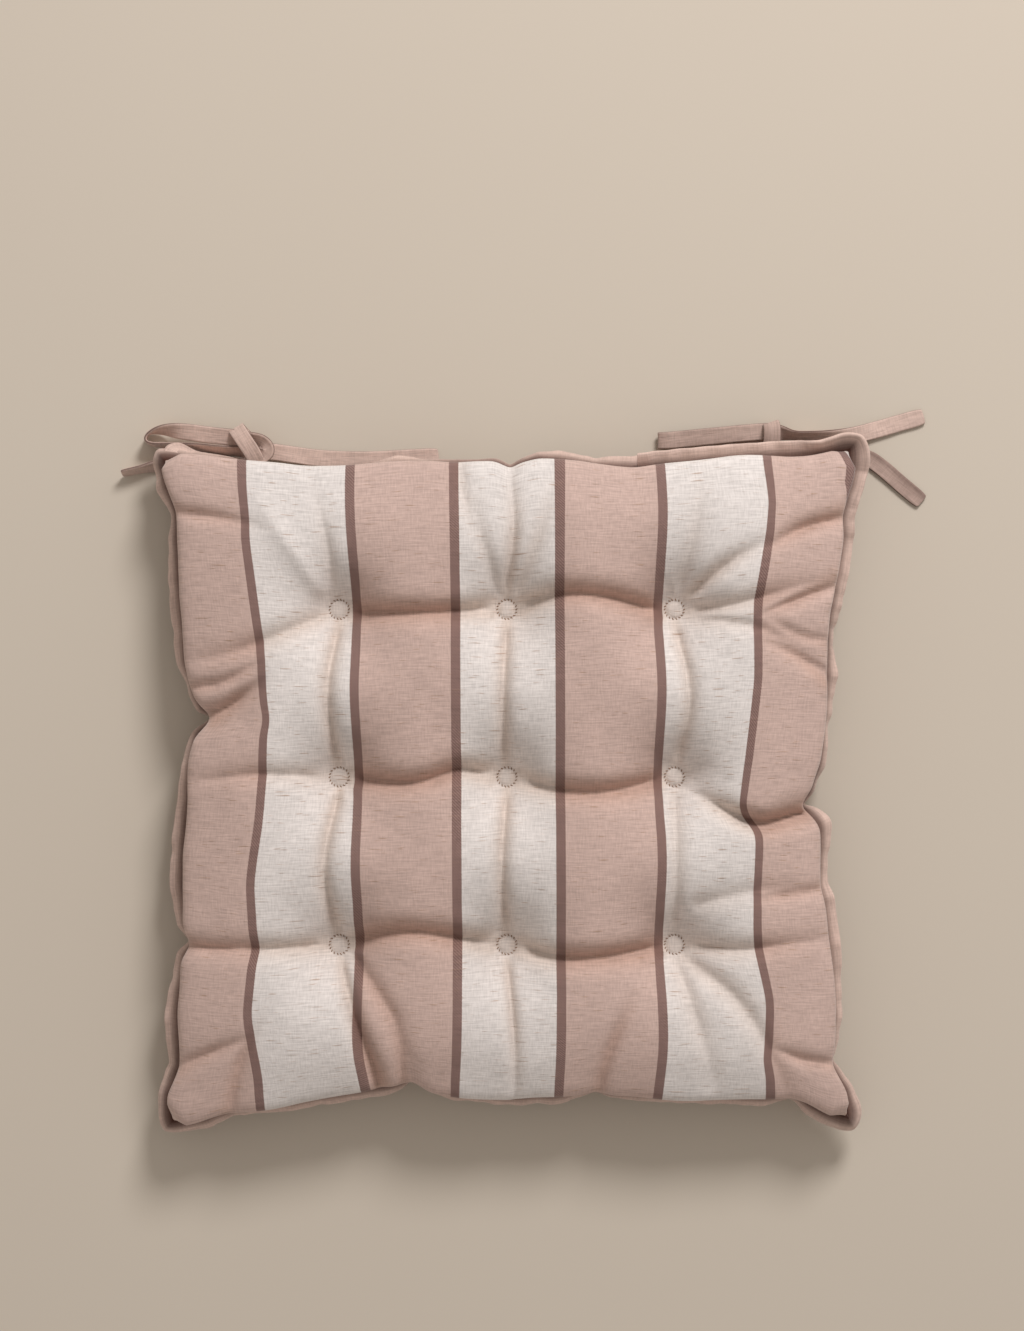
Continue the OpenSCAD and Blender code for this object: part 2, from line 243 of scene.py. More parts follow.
def spline(stops, spacing):
    """Catmull-Rom points through rows of numbers, about that far apart in the first three of them."""
    rows = np.asarray(stops, float)
    rows = np.vstack([2 * rows[0] - rows[1], rows, 2 * rows[-1] - rows[-2]])
    out = []
    for i in range(1, len(rows) - 2):
        p0, p1, p2, p3 = rows[i - 1:i + 3]
        count = max(1, round(np.linalg.norm(p2[:3] - p1[:3]) / spacing))
        for t in np.arange(count) / count:
            out.append(0.5 * (2 * p1 + (p2 - p0) * t + (2 * p0 - 5 * p1 + 4 * p2 - p3) * t ** 2
                              + (3 * p1 - p0 - 3 * p2 + p3) * t ** 3))
    out.append(rows[-2])
    return np.array(out)


def unit(rows):
    return rows / np.maximum(np.linalg.norm(rows, axis=-1, keepdims=True), 1e-12)


def wander(x, seed):
    """Smooth noise from -1 to 1 along a line."""
    return noise.noise(Vector((x, seed * 7.31, seed * 3.17)))


# ---- Materials ----


class Nodes:
    """A short way to build a node material."""

    def __init__(self, name):
        self.material = bpy.data.materials.new(name)
        self.material.use_nodes = True
        self.tree = self.material.node_tree
        self.shader = self.tree.nodes["Principled BSDF"]

    def add(self, kind, **settings):
        node = self.tree.nodes.new(kind)
        for key, value in settings.items():
            setattr(node, key, value)
        return node

    def wire(self, value, socket):
        if isinstance(value, bpy.types.NodeSocket):
            self.tree.links.new(value, socket)
        else:
            socket.default_value = value

    def math(self, operation, a, b=0.0, c=0.0):
        node = self.add("ShaderNodeMath", operation=operation)
        for value, socket in zip((a, b, c), node.inputs):
            self.wire(value, socket)
        return node.outputs[0]

    def scaled(self, vector, scale):
        node = self.add("ShaderNodeVectorMath", operation="MULTIPLY")
        self.wire(vector, node.inputs[0])
        node.inputs[1].default_value = scale
        return node.outputs[0]

    def noise(self, vector, scale=1.0, detail=2.0, roughness=0.5):
        node = self.add("ShaderNodeTexNoise")
        self.wire(vector, node.inputs["Vector"])
        node.inputs["Scale"].default_value = scale
        node.inputs["Detail"].default_value = detail
        node.inputs["Roughness"].default_value = roughness
        return node.outputs["Fac"]

    def ramp(self, value, low, high, to_low=0.0, to_high=1.0):
        node = self.add("ShaderNodeMapRange", clamp=True)
        self.wire(value, node.inputs["Value"])
        for name, number in zip(("From Min", "From Max", "To Min", "To Max"), (low, high, to_low, to_high)):
            node.inputs[name].default_value = number
        return node.outputs[0]

    def mix(self, share, a, b, blend="MIX"):
        node = self.add("ShaderNodeMix", data_type="RGBA", blend_type=blend)
        self.wire(share, node.inputs[0])
        self.wire(a, node.inputs[6])
        self.wire(b, node.inputs[7])
        return node.outputs[2]

    def bump(self, height, distance, strength=1.0):
        node = self.add("ShaderNodeBump")
        node.inputs["Distance"].default_value = distance
        node.inputs["Strength"].default_value = strength
        self.wire(height, node.inputs["Height"])
        self.tree.links.new(node.outputs["Normal"], self.shader.inputs["Normal"])

    def finish(self, colour, roughness, sheen=0.0, specular=0.2):
        self.wire(colour, self.shader.inputs["Base Color"])
        self.wire(roughness, self.shader.inputs["Roughness"])
        self.shader.inputs["Sheen Weight"].default_value = sheen
        self.shader.inputs["Sheen Roughness"].default_value = 0.5
        self.shader.inputs["Specular IOR Level"].default_value = specular
        return self.material


def linear(red, green, blue):
    """A colour given as it looks on a screen, 0 to 255, as the shader's numbers."""
    def one(value):
        value /= 255
        return value / 12.92 if value <= 0.04045 else ((value + 0.055) / 1.055) ** 2.4
    return (one(red), one(green), one(blue), 1.0)


CREAM = linear(222, 215, 211)
PINK = linear(199, 173, 163)
MAUVE = linear(120, 92, 86)
# painted shade: the warm colour that the striped cover is multiplied towards in its folds, round the tufts
# and at the seam
HOLLOW_SHADE = linear(236, 221, 208)
# painted shade: the dark colour that the edging strip's root and the ties are multiplied towards
SEAM_SHADE = linear(88, 60, 50)
TAN = linear(168, 136, 112)
EDGING = linear(208, 182, 170)
TIE = linear(212, 186, 174)


def woven(nodes, colour, slub_share, slub_colour, shade_colour):
    """Linen-look cloth on the flat coordinates: weft and warp threads, slubs and uneven dye, with painted
    shade multiplied in wherever the flat attribute's third number is set.
    """
    flat = nodes.add("ShaderNodeAttribute", attribute_name="flat").outputs["Vector"]
    weft = nodes.noise(nodes.scaled(flat, (90.0, 1100.0, 0.0)), detail=3.0)
    warp = nodes.noise(nodes.scaled(flat, (1100.0, 160.0, 0.0)), detail=2.0)
    slub = nodes.noise(nodes.scaled(flat, (85.0, 950.0, 0.0)), detail=1.0)
    dye = nodes.noise(nodes.scaled(flat, (24.0, 24.0, 0.0)), detail=2.0)
    parts = nodes.add("ShaderNodeSeparateXYZ")
    nodes.wire(flat, parts.inputs[0])
    threads = nodes.math("MULTIPLY_ADD", warp, 0.5, nodes.math("MULTIPLY", weft, 0.8))
    shade = nodes.ramp(threads, 0.42, 0.88, 0.78, 1.14)
    shade = nodes.math("MULTIPLY", shade, nodes.ramp(dye, 0.3, 0.7, 0.96, 1.03))
    dashes = nodes.math("MULTIPLY", nodes.ramp(slub, 0.66, 0.74), slub_share)
    colour = nodes.mix(dashes, colour, slub_colour)
    grey = nodes.add("ShaderNodeCombineColor")
    for socket in grey.inputs[:3]:
        nodes.wire(shade, socket)
    colour = nodes.mix(1.0, colour, grey.outputs[0], "MULTIPLY")
    # painted shade: the colour is multiplied towards the shade colour by the flat attribute's third number
    colour = nodes.mix(parts.outputs[2], colour, shade_colour, "MULTIPLY")
    height = nodes.math("ADD", threads, nodes.math("MULTIPLY", dashes, 0.8))
    nodes.bump(height, 0.25 * MM, 0.7)
    return colour, nodes.ramp(threads, 0.4, 0.9, 0.95, 0.82)


def striped_cloth():
    nodes = Nodes("striped_cloth")
    flat = nodes.add("ShaderNodeAttribute", attribute_name="flat").outputs["Vector"]
    parts = nodes.add("ShaderNodeSeparateXYZ")
    nodes.wire(flat, parts.inputs[0])
    wobble = nodes.math("MULTIPLY_ADD", nodes.noise(nodes.scaled(flat, (1.0, 900.0, 0.0))), 0.5, -0.25)
    across = nodes.math("ADD", nodes.math("MULTIPLY", parts.outputs[0], 1000.0), wobble)
    # the stripes repeat every 120 mm: a mauve line, 60 mm of pink, a mauve line, 60 mm of cream
    folded = nodes.math("ABSOLUTE", nodes.math("SUBTRACT", nodes.math("PINGPONG", across, 60.0), 30.0))
    line = nodes.ramp(folded, 2.6, 2.95, 1.0, 0.0)
    is_pink = nodes.ramp(nodes.math("PINGPONG", across, 60.0), 29.5, 30.5)
    colour = nodes.mix(is_pink, CREAM, PINK)
    twill = nodes.add("ShaderNodeTexWave", wave_type="BANDS", bands_direction="DIAGONAL")
    nodes.wire(nodes.scaled(flat, (1000.0, 1000.0, 0.0)), twill.inputs["Vector"])
    twill.inputs["Scale"].default_value = 0.35
    mauve = nodes.mix(twill.outputs["Fac"], MAUVE, linear(146, 120, 113))
    colour = nodes.mix(line, colour, mauve)
    slubs = nodes.math("SUBTRACT", 0.6, nodes.math("MULTIPLY", line, 0.4))
    colour, roughness = woven(nodes, colour, slubs, TAN, HOLLOW_SHADE)
    return nodes.finish(colour, roughness, sheen=0.25)


def plain_cloth(name, colour):
    nodes = Nodes(name)
    # painted shade: darkened towards SEAM_SHADE where the flat attribute's third number is set
    colour, roughness = woven(nodes, colour, 0.25, MAUVE, SEAM_SHADE)
    return nodes.finish(colour, roughness, sheen=0.2)


def thread_material():
    nodes = Nodes("thread")
    place = nodes.add("ShaderNodeTexCoord").outputs["Object"]
    twist = nodes.add("ShaderNodeTexWave", wave_type="BANDS", bands_direction="DIAGONAL")
    nodes.wire(place, twist.inputs["Vector"])
    twist.inputs["Scale"].default_value = 600.0
    colour = nodes.mix(twist.outputs["Fac"], linear(126, 98, 80), linear(160, 130, 108))
    nodes.bump(twist.outputs["Fac"], 0.1 * MM)
    return nodes.finish(colour, 0.75)


def fibre_material():
    nodes = Nodes("fibre")
    place = nodes.add("ShaderNodeTexCoord").outputs["Object"]
    tuft = nodes.noise(place, 90.0, 6.0, 0.7)
    nodes.bump(tuft, 2 * MM)
    return nodes.finish(nodes.mix(tuft, (0.78, 0.77, 0.73, 1), (0.9, 0.89, 0.86, 1)), 0.95)


def floor_material():
    nodes = Nodes("floor")
    place = nodes.add("ShaderNodeTexCoord").outputs["Object"]
    grain = nodes.noise(place, 3.0, 3.0)
    return nodes.finish(nodes.mix(grain, linear(202, 191, 177), linear(204, 194, 180)), 0.9, specular=0.05)


# ---- Camera, light and floor ----


CAMERA_X = 3 * MM
CAMERA_Y = 70.5 * MM
CAMERA_HEIGHT = 2.0  # above the seam
FRAME_HEIGHT = 0.772  # what the picture's height takes in at the seam


def make_camera():
    data = bpy.data.cameras.new("camera")
    camera = link(bpy.data.objects.new("camera", data))
    camera.location = (CAMERA_X, CAMERA_Y, SEAM_Z + CAMERA_HEIGHT)
    data.sensor_width = 36.0
    data.lens = data.sensor_width * CAMERA_HEIGHT / FRAME_HEIGHT
    data.clip_end = 20.0
    bpy.context.scene.camera = camera


def aim(obj, target):
    obj.rotation_euler = (Vector(target) - obj.location).to_track_quat("-Z", "Y").to_euler()


def make_light(name, place, size, power, colour):
    data = bpy.data.lights.new(name, "AREA")
    data.shape = "DISK"
    data.size = size
    data.energy = power
    data.color = colour
    lamp = link(bpy.data.objects.new(name, data))
    lamp.location = place
    aim(lamp, (0, 0, 0))


def make_stage():
    scene = bpy.context.scene
    scene.view_settings.view_transform = "Standard"
    world = bpy.data.worlds.new("studio")
    world.use_nodes = True
    background = world.node_tree.nodes["Background"]
    background.inputs["Color"].default_value = (1.0, 0.93, 0.87, 1)
    background.inputs["Strength"].default_value = 0.47
    scene.world = world
    make_light("window", (0.85, 2.1, 1.75), 0.9, 61.0, (1.0, 0.985, 0.985))
    half = 6.0
    floor = make_mesh("floor", [(-half, -half, 0), (half, -half, 0), (half, half, 0), (-half, half, 0)],
                      [(0, 1, 2, 3)], smooth=False)
    floor.data.materials.append(floor_material())


make_camera()

# ---- Ties: each stop is [place, direction of the tape's width], in mm from the seam's corner ----

LEFT_A = [
    ((2, 0, 23), (1, 0, 0)), ((2.5, 4.5, 22), (1, -0.2, 0)), ((7, 5, 18.5), (0.6, -0.8, 0)),
    ((15, 2, 13), (0, -0.6, 0.8)), ((25, 1, 9.6), (0, -0.4, 0.9)), ((36, 0, 9), (0, -0.2, 1)),
    ((46, 0, 9.4), (0.2, -0.2, 1)), ((52, 1.5, 11), (0.8, -0.4, 0.5)), ((57, 5, 13.6), (0.9, -0.2, 0.3)),
    ((54, 10, 12.6), (0.5, 0.6, 0.6)), ((46, 12, 11), (0.1, 0.8, 0.6)), ((36, 13, 10), (0, 0.95, 0.3)),
    ((22, 14.5, 8.5), (0, 1, 0.1)), ((8, 16.5, 7), (0, 0.95, 0.3)), ((-5, 17.5, 6), (0, 0.5, 0.85)),
    ((-13, 15.5, 6), (0, 0, 1)), ((-14.5, 11.5, 6), (0, 0, 1)), ((-10, 9, 6), (0, 0.1, 1)),
    ((2, 8, 6), (0, 0.3, 0.95)), ((16, 6.8, 6), (0, 0.5, 0.85)), ((30, 5.6, 6.2), (0, 0.5, 0.85)),
    ((42, 5, 6), (0, 0.6, 0.8)), ((50, 5, 3.8), (0, 0.9, 0.4)), ((59, 5, 2.4), (0, 1, 0.1)),
    ((70, 3.5, 2), (0, 1, 0)), ((85, 1.5, 1.6), (0, 1, 0)), ((102, 0.5, 1.5), (0, 1, 0)),
    ((120, 0.5, 1.4), (0, 1, 0)), ((138, 1.5, 1.3), (0, 1, 0)), ((157, 2.5, 1.3), (0, 1, 0)),
]
LEFT_B = [
    ((3, -1, 20), (1, 0, 0)), ((3.5, 2.5, 18), (1, -0.2, 0)), ((9, 2, 13), (0.5, -0.8, 0.3)),
    ((17, -1.5, 9), (0, -0.5, 0.9)), ((28, -2.6, 6.6), (0, -0.3, 0.9)), ((39, -3, 6), (0.1, -0.2, 0.9)),
    ((47, -1.5, 4.8), (0.6, -0.3, 0.7)), ((49, 3.5, 1.6), (1, 0.3, 0.1)), ((46, 10, 1.3), (1, 0.4, 0)),
    ((41, 15.5, 2.6), (0.9, 0.5, 0)), ((38.5, 18.5, 8), (0.9, 0.5, 0)), ((40, 16.5, 13.6), (0.85, 0.5, 0)),
    ((44, 10.5, 16), (0.85, 0.5, 0)), ((48.5, 3.5, 15), (0.85, 0.5, 0)), ((51, -3, 11.5), (0.9, 0.4, 0)),
    ((49, -7.5, 7.5), (1, 0.1, 0)), ((42, -10, 6), (0.7, 0.6, -0.3)), ((33, -9, 1.6), (0.1, 1, 0)),
    ((18, -6.5, 1.4), (0, 1, 0)), ((4, -3.5, 2.4), (0, 1, 0.2)), ((-8, -3.5, 4.4), (0, 0.6, 0.7)),
    ((-18, -5.5, 5.4), (0, 0.3, 0.9)), ((-29, -8, 5.4), (0, 0.3, 0.9)),
]
RIGHT_A = [
    ((-2, 0, 23), (1, 0, 0)), ((-2.5, 4.5, 22), (1, 0.2, 0)), ((-7, 6.5, 18.5), (0.6, 0.8, 0)),
    ((-17, 4, 13), (0, 1, 0)), ((-28, 2, 7.6), (0, 1, 0)), ((-40, 3.5, 4.6), (0, 1, 0)),
    ((-54, 10, 3.4), (0, 1, 0)), ((-72, 13.5, 1.7), (0, 1, 0)), ((-90, 12.5, 1.4), (0, 1, 0)),
    ((-103, 11.4, 1.6), (0, 1, 0)), ((-108, 11.4, 4.2), (0, 1, 0)), ((-103, 11.4, 6.8), (0, 1, 0)),
    ((-88, 12.8, 6.4), (0, 1, 0)), ((-70, 14.6, 6), (0, 1, 0)), ((-54, 16, 7.4), (0, 1, 0)),
    ((-42, 16.4, 8.4), (0, 1, 0.2)), ((-30, 14.5, 7), (0, 0.5, 0.85)), ((-18, 14, 6.5), (0, 0.5, 0.85)),
    ((-6, 13.5, 6), (0, 0.8, 0.6)), ((6, 14.5, 4), (-0.1, 1, 0.2)), ((20, 18, 2), (-0.2, 1, 0)),
    ((34, 22, 1.4), (-0.3, 1, 0)), ((48, 26, 1.4), (-0.3, 1, 0)),
]
RIGHT_B = [
    ((-3, -1, 20), (1, 0, 0)), ((-3.5, 2.5, 18), (1, 0.2, 0)), ((-10, 2.5, 13), (0.4, 0.9, 0)),
    ((-20, 0.5, 7.5), (0, 1, 0)), ((-32, 0.5, 3), (0.2, 1, 0)), ((-41, 3, 1.6), (0.7, 0.7, 0)),
    ((-45, 9, 1.4), (1, 0.2, 0)), ((-44, 15, 1.5), (1, 0.2, 0)), ((-43, 20, 3.8), (1, 0.3, 0)),
    ((-42.5, 21.5, 8.5), (1, 0.3, 0)), ((-42, 18.5, 12.4), (1, 0.2, 0)), ((-42, 12, 13), (1, 0.1, 0)),
    ((-43, 5, 11.6), (1, 0, 0)), ((-44, -1, 8.5), (1, -0.1, 0.1)), ((-42, -5.5, 6.4), (0.6, 0, 0.8)),
    ((-33, -7.5, 5.6), (0, -0.2, 1)), ((-20, -7, 4.6), (0, -0.6, 0.8)), ((-7, -3, 2.2), (0, -1, 0.2)),
    ((5, 2, 1.5), (0, -1, 0)), ((15, 1, 1.4), (-0.4, -0.9, 0)), ((24, -5, 1.4), (-0.6, -0.8, 0)),
    ((35, -14.5, 1.4), (-0.6, -0.8, 0)), ((47, -24.5, 1.4), (-0.6, -0.8, 0)),
]
TIE_W = 10 * MM
TIE_T = 1.6 * MM
TIE_SPACING = 1.5 * MM


def tape_profile():
    """The folded tape's section, as [across, through] shares: two layers, open along one edge."""
    half = [(-1.0, 0.15), (-0.97, 0.8), (-0.84, 1.15), (-0.66, 0.7), (0.0, 0.7), (0.5, 0.75),
            (0.74, 1.1), (0.93, 1.0), (1.0, 0.35)]
    return half + [(a * 0.985, -b) for a, b in reversed(half)]


def tape_shade(a, at, length, side, turned):
    """How dark the tape is: painted shade as a dark line at its open edge, on its folded half and on a turned
    end; also darker in the right knot, with some random tone.
    """
    edge = 0.9 * max(0.0, abs(a) - 0.95) / 0.05 if a > 0 else 0.0
    half = 0.22 * max(0.0, -a) + 0.1 * wander(at * 60, side + 4)
    knotted = 0.3 * min(1.0, max(0.0, (0.75 - at / length) * 6)) if side > 0 else 0.0
    end = 0.42 * min(1.0, max(0.0, (at - length + turned) / (8 * MM))) if turned else 0.0
    return min(1.0, max(0.0, edge + half + knotted + end))


def make_tie(name, route, side, body, turned=0.0):
    corner = np.array([side * CORNER_X, CORNER_Y, 0.0])
    rows = spline([[*(np.array(place) * MM), *lean] for place, lean in route], TIE_SPACING)
    centre = rows[:, :3] + corner
    along = unit(np.gradient(centre, axis=0))
    wide = unit(rows[:, 3:] - (rows[:, 3:] * along).sum(1, keepdims=True) * along)
    thick = np.cross(along, wide)
    run = np.concatenate([[0], np.cumsum(np.linalg.norm(np.diff(centre, axis=0), axis=1))])
    profile = tape_profile()
    points, flat = [], []
    for i, here in enumerate(centre):
        from_end = run[-1] - run[i]
        pinch = 1 - 0.12 * math.exp(-(from_end / (3 * MM)) ** 2)
        wave = 0.25 * MM * wander(run[i] * 90, side + len(name))
        for k, (a, b) in enumerate(profile):
            puff = 1 + 0.25 * wander(run[i] * 160 + a, 3 + k % 2)
            across = a * pinch * TIE_W / 2
            through = b * puff * TIE_T / 2 + wave * a
            points.append(here + wide[i] * across + thick[i] * through)
            # third number: how dark the tape is there, mostly painted shade, from tape_shade
            flat.append((run[i], a * TIE_W / 2, tape_shade(a, run[i], run[-1], side, turned)))
    rings, size = len(centre), len(profile)
    faces = [(i * size + k, i * size + (k + 1) % size, (i + 1) * size + (k + 1) % size, (i + 1) * size + k)
             for i in range(rings - 1) for k in range(size)]
    faces += [tuple(range(size))[::-1], tuple((rings - 1) * size + k for k in range(size))]
    tie = make_mesh(f"{name}_tape", points, faces)
    set_flat(tie, flat)
    subdivide(tie)
    tie.data.materials.append(MATERIALS["tie"])
    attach(tie, body)
    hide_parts(name)


MATERIALS = {
    "striped": striped_cloth(),
    "edging": plain_cloth("edging_cloth", EDGING),
    "tie": plain_cloth("tie_cloth", TIE),
    "thread": thread_material(),
    "fibre": fibre_material(),
}

make_tie("tie_left_a", LEFT_A, -1, "left_ties")
make_tie("tie_left_b", LEFT_B, -1, "left_ties")
make_tie("tie_right_a", RIGHT_A, 1, "right_ties")
make_tie("tie_right_b", RIGHT_B, 1, "right_ties", turned=60 * MM)

# ---- Cover ----


SEAM_INSET = 3 * MM  # the listed outline is the cover's belly, and the seam lies this far inside it


def seam_side(stops, at):
    """x, y and edging shown along one side, at those places on the cut, in metres."""
    table = np.array(stops, float) * MM
    fine = np.linspace(-CUT, CUT, 401)
    rows = np.stack([np.interp(fine, table[:, 0], table[:, k]) for k in (1, 2, 3)], 1)
    rows = smooth_line(rows, 1.8)
    inset = SEAM_INSET * np.clip((CUT - abs(fine)) / (25 * MM), 0, 1)
    across = 0 if stops in (LEFT, RIGHT) else 1
    rows[:, across] -= np.sign(rows[:, across]) * inset
    rows[:, 2] += inset
    return np.stack([np.interp(at, fine, rows[:, k]) for k in range(3)], 1)


def grid_lines(shift):
    """Places on the cut, from seam to seam, closer together at the tufts and along the seam."""
    density = np.linspace(-CUT, CUT, 4001)
    step = np.full_like(density, 3.9 * MM)
    for k in (-1, 0, 1):
        near = np.exp(-((density - shift - k * TUFT_PITCH_CUT) / (9 * MM)) ** 2)
        step -= near * 2.1 * MM
    step -= 1.4 * MM * np.exp(-((CUT - abs(density)) / (8 * MM)) ** 2)
    count = np.concatenate([[0], np.cumsum(np.diff(density) / step[1:])])
    total = round(count[-1])
    return np.interp(np.linspace(0, count[-1], total + 1), count, density)


LINES_U = grid_lines(0.0)
LINES_V = grid_lines(TUFT_BACK_CUT)
U, V = np.meshgrid(LINES_U, LINES_V, indexing="ij")
SIDE_FRONT = seam_side(FRONT, LINES_U)
SIDE_BACK = seam_side(BACK, LINES_U)
SIDE_LEFT = seam_side(LEFT, LINES_V)
SIDE_RIGHT = seam_side(RIGHT, LINES_V)


def tuft_cut(i):
    """The place of tuft number i on the flat cut."""
    return (i % 3 - 1) * TUFT_PITCH_CUT, TUFT_BACK_CUT + (1 - i // 3) * TUFT_PITCH_CUT


def tuft_shift(u, v):
    """How far the cloth is drawn from its place on the cut towards the tufts' real places."""
    total, dx, dy = 1e-9, 0.0, 0.0
    for i, tuft in enumerate(TUFTS):
        cut_x, cut_y = tuft_cut(i)
        weight = np.exp(-((u - cut_x) ** 2 + (v - cut_y) ** 2) / (45 * MM) ** 2)
        total = total + weight
        dx = dx + weight * (tuft.x - cut_x)
        dy = dy + weight * (tuft.y - cut_y)
    return dx / np.maximum(total, 1.0), dy / np.maximum(total, 1.0)


def start_plan():
    """Where each point of the cut lies, seen from above: tufts and seam drawn in, cloth between."""
    a, b = (U / CUT + 1) / 2, (V / CUT + 1) / 2
    corners = [SIDE_FRONT[0], SIDE_FRONT[-1], SIDE_BACK[0], SIDE_BACK[-1]]
    plan = []
    for k in range(2):
        low = corners[0][k] * (1 - a) + corners[1][k] * a
        high = corners[2][k] * (1 - a) + corners[3][k] * a
        plan.append(low * (1 - b) + high * b)
    x, y = plan
    reach = 38 * MM
    for side, position, is_x in ((SIDE_LEFT, U + CUT, True), (SIDE_RIGHT, CUT - U, True),
                                 (SIDE_FRONT, V + CUT, False), (SIDE_BACK, CUT - V, False)):
        fade = np.exp(-(position / reach) ** 1.5)
        if is_x:
            row = 0 if side is SIDE_LEFT else -1
            x = x + (side[:, 0] - x[row])[None, :] * fade
            y = y + (side[:, 1] - y[row])[None, :] * fade
        else:
            column = 0 if side is SIDE_FRONT else -1
            x = x + (side[:, 0] - x[:, column])[:, None] * fade
            y = y + (side[:, 1] - y[:, column])[:, None] * fade
    inside = (1 - abs(U / CUT) ** 6) * (1 - abs(V / CUT) ** 6)
    dx, dy = tuft_shift(U, V)
    smooth_x, smooth_y = U * CORNER_X / CUT, V * CORNER_Y / CUT
    dx, dy = U + dx - smooth_x, V + dy - smooth_y
    return x + dx * inside * 0.9, y + dy * inside * 0.9


def fold_depth(x, y, sharp=2.0, narrow=1.0, folds=FOLDS):
    """How deep the listed folds are at those points, in metres. A low sharp gives a creased bottom."""
    depth = np.zeros_like(x)
    for stops, deep, half_width, strengths in folds:
        line = spline([(px * MM, py * MM, 0) for px, py in stops], 6 * MM)[:, :2]
        wide = half_width * narrow * MM
        low, high = line.min(0) - 4 * wide, line.max(0) + 4 * wide
        near = (x > low[0]) & (x < high[0]) & (y > low[1]) & (y < high[1])
        here = np.stack([x[near], y[near]], -1)
        nearest = np.full(len(here), 1e9)
        share = np.zeros(len(here))
        for i, (start, end) in enumerate(zip(line[:-1], line[1:])):
            run = end - start
            t = np.clip(((here - start) @ run) / (run @ run), 0, 1)
            d = np.linalg.norm(here - start - t[:, None] * run, axis=1)
            share = np.where(d < nearest, (i + t) / (len(line) - 1), share)
            nearest = np.minimum(d, nearest)
        fade = np.interp(share, (0.0, 0.5, 1.0), strengths)
        depth[near] = np.maximum(depth[near], deep * MM * fade * np.exp(-(nearest / wide) ** sharp))
    return depth


def from_tuft(x, y):
    return np.min([np.hypot(x - t.x, y - t.y) for t in TUFTS], axis=0)


def start_heights(x, y):
    """Heights of the top and the underside before the cloth is blown up."""
    a, b = abs(U / CUT), abs(V / CUT)
    plump = (1 - a ** 7) ** 0.5 * (1 - b ** 7) ** 0.5
    drawn = np.exp(-(np.maximum(0, from_tuft(x, y) - TUFT_R - 1 * MM) / (17 * MM)) ** 1.4)
    crown = SEAM_Z + (TOP_Z - SEAM_Z - 3 * MM) * plump
    top = (crown - 0.6 * fold_depth(x, y) * plump) * (1 - drawn) + TUFT_TOP * drawn
    belly = SEAM_Z - 22 * MM * plump
    bottom = belly * (1 - drawn) + TUFT_BOTTOM * drawn
    return top, bottom


def seam_wave(x, y):
    return SEAM_Z + 2.2 * MM * np.array([wander(p * 26 + q * 19, 11) for p, q in zip(x, y)])


def build_cover():
    """One closed mesh of both panels, ready for the simulation, with what it needs to know."""
    x, y = start_plan()
    top, bottom = start_heights(x, y)
    shape = U.shape
    border = (abs(U) > CUT - 1e-7) | (abs(V) > CUT - 1e-7)
    for heights in (top, bottom):
        heights[border] = seam_wave(x[border], y[border])
    count = U.size
    over = np.arange(count).reshape(shape)
    under = over + count
    under[border] = over[border]
    used, inverse = np.unique(np.concatenate([over.ravel(), under.ravel()]), return_inverse=True)
    over, under = inverse[:count].reshape(shape), inverse[count:].reshape(shape)
    points = np.zeros((len(used), 3))
    flat = np.zeros((len(used), 3))
    for index, height in ((under, bottom), (over, top)):
        points[index.ravel()] = np.stack([x, y, height], -1).reshape(-1, 3)
        flat[index.ravel()] = np.stack([U, V, np.zeros(shape)], -1).reshape(-1, 3)
    held = set(over[border].ravel().tolist())
    for i, tuft in enumerate(TUFTS):
        cut_x, cut_y = tuft_cut(i)
        disc = np.hypot(U - cut_x, V - cut_y) < TUFT_R
        for index, height in ((over, TUFT_TOP), (under, TUFT_BOTTOM)):
            for k in index[disc]:
                points[k] = (tuft.x + flat[k][0] - cut_x, tuft.y + flat[k][1] - cut_y, height)
                held.add(int(k))
    return points, flat, over, under, sorted(held)


def quads(index):
    return np.stack([index[:-1, :-1], index[1:, :-1], index[1:, 1:], index[:-1, 1:]], -1).reshape(-1, 4)


FRAMES = 22
PRESSURE = 8.0
SLACK = 1.035  # how much the cloth gives, so that it can belly out


def blow_up(points, flat, faces, held):
    """Blender's cloth simulation: the flat cut, held at the seam and tufts, under pressure."""
    pad = make_mesh("cover_simulation", points, faces)
    pad.shape_key_add(name="Basis")
    cut = pad.shape_key_add(name="cut")
    cut.data.foreach_set("co", (flat * SLACK).astype(np.float32).ravel())
    group = pad.vertex_groups.new(name="held")
    group.add(held, 1.0, "REPLACE")
    modifier = pad.modifiers.new("Cloth", "CLOTH")
    cloth = modifier.settings
    cloth.quality = 5
    cloth.mass = 0.001
    cloth.air_damping = 3.0
    cloth.tension_stiffness = cloth.compression_stiffness = 15
    cloth.shear_stiffness = 4
    cloth.bending_stiffness = 0.4
    cloth.tension_damping = cloth.compression_damping = cloth.shear_damping = 10
    cloth.bending_damping = 0.5
    cloth.use_pressure = True
    cloth.uniform_pressure_force = PRESSURE
    cloth.vertex_group_mass = "held"
    cloth.rest_shape_key = cut
    cloth.effector_weights.gravity = 0
    modifier.collision_settings.use_collision = False
    modifier.collision_settings.use_self_collision = False
    modifier.point_cache.frame_start = 1
    modifier.point_cache.frame_end = FRAMES + 1
    scene = bpy.context.scene
    for number in range(1, FRAMES + 1):
        scene.frame_set(number)
    mesh = pad.evaluated_get(bpy.context.evaluated_depsgraph_get()).data
    result = np.zeros(len(mesh.vertices) * 3)
    mesh.vertices.foreach_get("co", result)
    bpy.data.objects.remove(pad)
    scene.frame_set(1)
    return result.reshape(-1, 3)


MOST_MOVE = 22 * MM


